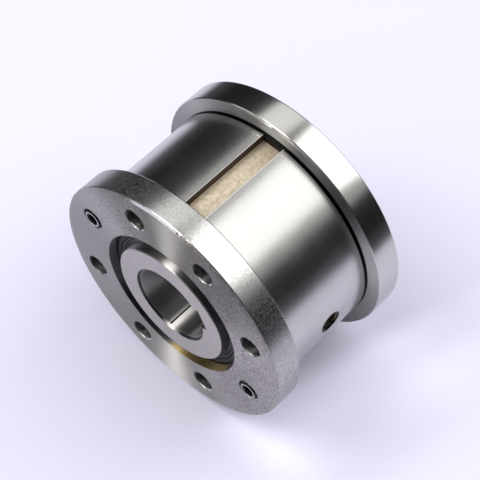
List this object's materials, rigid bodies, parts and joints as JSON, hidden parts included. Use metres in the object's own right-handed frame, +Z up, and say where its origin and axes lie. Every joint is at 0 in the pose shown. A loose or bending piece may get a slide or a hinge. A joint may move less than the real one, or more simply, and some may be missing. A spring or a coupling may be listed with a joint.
{
  "type": "one-way clutch bearing",
  "caption": "Flanged roller freewheel: a keyed hub on ball bearings overruns one way inside a keyed outer ring, and sprung rollers lock it the other way.",
  "frame": {"origin": "centre of the shaft bore, midway along the hub", "axes": "+Y along the shaft axis from front to rear, +Z up through the keyway of the outer ring, +X to the right seen from the front, through the oil hole"},
  "size_m": [0.135, 0.0846, 0.135],
  "materials": {
    "flange_steel": "fine ground faces, turned rim, light handling marks",
    "ring_steel": "ground and polished outside, milled keyway with light rust",
    "hub_steel": "ground end faces, honed bore",
    "bearing_steel": "polished bearing steel",
    "roller_steel": "superfinished roller",
    "plate_steel": "ground sheet",
    "plunger_steel": "hardened, oil dark",
    "screw_steel": "blackened steel with worn edges",
    "spring_steel": "drawn spring wire",
    "cage_brass": "machined",
    "seal_rubber": "oiled black rubber",
    "gasket": "black gasket sheet"
  },
  "bodies": {
    "housing": {"outer_ring": "ring_steel", "front_flange": "flange_steel", "rear_flange": "flange_steel", "front_gasket": "gasket", "rear_gasket": "gasket", "front_screws": "screw_steel", "rear_screws": "screw_steel", "front_seal": "seal_rubber", "rear_seal": "seal_rubber", "front_garter_spring": "spring_steel", "rear_garter_spring": "spring_steel", "front_outer_race": "bearing_steel", "rear_outer_race": "bearing_steel"},
    "hub": {"inner_ring": "hub_steel", "front_inner_race": "bearing_steel", "rear_inner_race": "bearing_steel", "front_side_plate": "plate_steel", "rear_side_plate": "plate_steel", "roller_spring_1": "spring_steel", "roller_spring_2": "spring_steel", "roller_spring_3": "spring_steel", "roller_spring_4": "spring_steel", "roller_spring_5": "spring_steel", "roller_spring_6": "spring_steel", "roller_spring_7": "spring_steel", "roller_spring_8": "spring_steel"},
    "front_ball_set": {"front_cage": "cage_brass", "front_balls": "bearing_steel"},
    "rear_ball_set": {"rear_cage": "cage_brass", "rear_balls": "bearing_steel"},
    "roller_1_set": {"roller_1": "roller_steel", "plunger_1": "plunger_steel"},
    "roller_2_set": {"roller_2": "roller_steel", "plunger_2": "plunger_steel"},
    "roller_3_set": {"roller_3": "roller_steel", "plunger_3": "plunger_steel"},
    "roller_4_set": {"roller_4": "roller_steel", "plunger_4": "plunger_steel"},
    "roller_5_set": {"roller_5": "roller_steel", "plunger_5": "plunger_steel"},
    "roller_6_set": {"roller_6": "roller_steel", "plunger_6": "plunger_steel"},
    "roller_7_set": {"roller_7": "roller_steel", "plunger_7": "plunger_steel"},
    "roller_8_set": {"roller_8": "roller_steel", "plunger_8": "plunger_steel"}
  },
  "joints": [
    {"name": "inner_ring_overrun", "type": "hinge", "parent": "housing", "child": "hub", "pos_m": [0, 0, 0], "axis": [0, 1, 0], "range_deg": [0, 450]},
    {"name": "front_balls_orbit", "type": "hinge", "parent": "housing", "child": "front_ball_set", "pos_m": [0, 0, 0], "axis": [0, 1, 0], "range_deg": [0, 206]},
    {"name": "rear_balls_orbit", "type": "hinge", "parent": "housing", "child": "rear_ball_set", "pos_m": [0, 0, 0], "axis": [0, 1, 0], "range_deg": [0, 206]},
    {"name": "roller_1_release", "type": "slide", "parent": "hub", "child": "roller_1_set", "axis": [-0.7604, 0, 0.6494], "range_m": [0, 0.0015], "stiffness_N_per_m": 800, "springref_m": -0.003, "deforming": ["roller_spring_1"]},
    {"name": "roller_2_release", "type": "slide", "parent": "hub", "child": "roller_2_set", "axis": [-0.9969, 0, -0.0785], "range_m": [0, 0.0015], "stiffness_N_per_m": 800, "springref_m": -0.003, "deforming": ["roller_spring_2"]},
    {"name": "roller_3_release", "type": "slide", "parent": "hub", "child": "roller_3_set", "axis": [-0.6494, 0, -0.7604], "range_m": [0, 0.0015], "stiffness_N_per_m": 800, "springref_m": -0.003, "deforming": ["roller_spring_3"]},
    {"name": "roller_4_release", "type": "slide", "parent": "hub", "child": "roller_4_set", "axis": [0.0785, 0, -0.9969], "range_m": [0, 0.0015], "stiffness_N_per_m": 800, "springref_m": -0.003, "deforming": ["roller_spring_4"]},
    {"name": "roller_5_release", "type": "slide", "parent": "hub", "child": "roller_5_set", "axis": [0.7604, 0, -0.6494], "range_m": [0, 0.0015], "stiffness_N_per_m": 800, "springref_m": -0.003, "deforming": ["roller_spring_5"]},
    {"name": "roller_6_release", "type": "slide", "parent": "hub", "child": "roller_6_set", "axis": [0.9969, 0, 0.0785], "range_m": [0, 0.0015], "stiffness_N_per_m": 800, "springref_m": -0.003, "deforming": ["roller_spring_6"]},
    {"name": "roller_7_release", "type": "slide", "parent": "hub", "child": "roller_7_set", "axis": [0.6494, 0, 0.7604], "range_m": [0, 0.0015], "stiffness_N_per_m": 800, "springref_m": -0.003, "deforming": ["roller_spring_7"]},
    {"name": "roller_8_release", "type": "slide", "parent": "hub", "child": "roller_8_set", "axis": [-0.0785, 0, 0.9969], "range_m": [0, 0.0015], "stiffness_N_per_m": 800, "springref_m": -0.003, "deforming": ["roller_spring_8"]}
  ],
  "couplings": [
    {"joint": "front_balls_orbit", "follows": "inner_ring_overrun", "ratio": 0.45484},
    {"joint": "rear_balls_orbit", "follows": "inner_ring_overrun", "ratio": 0.45484}
  ]
}
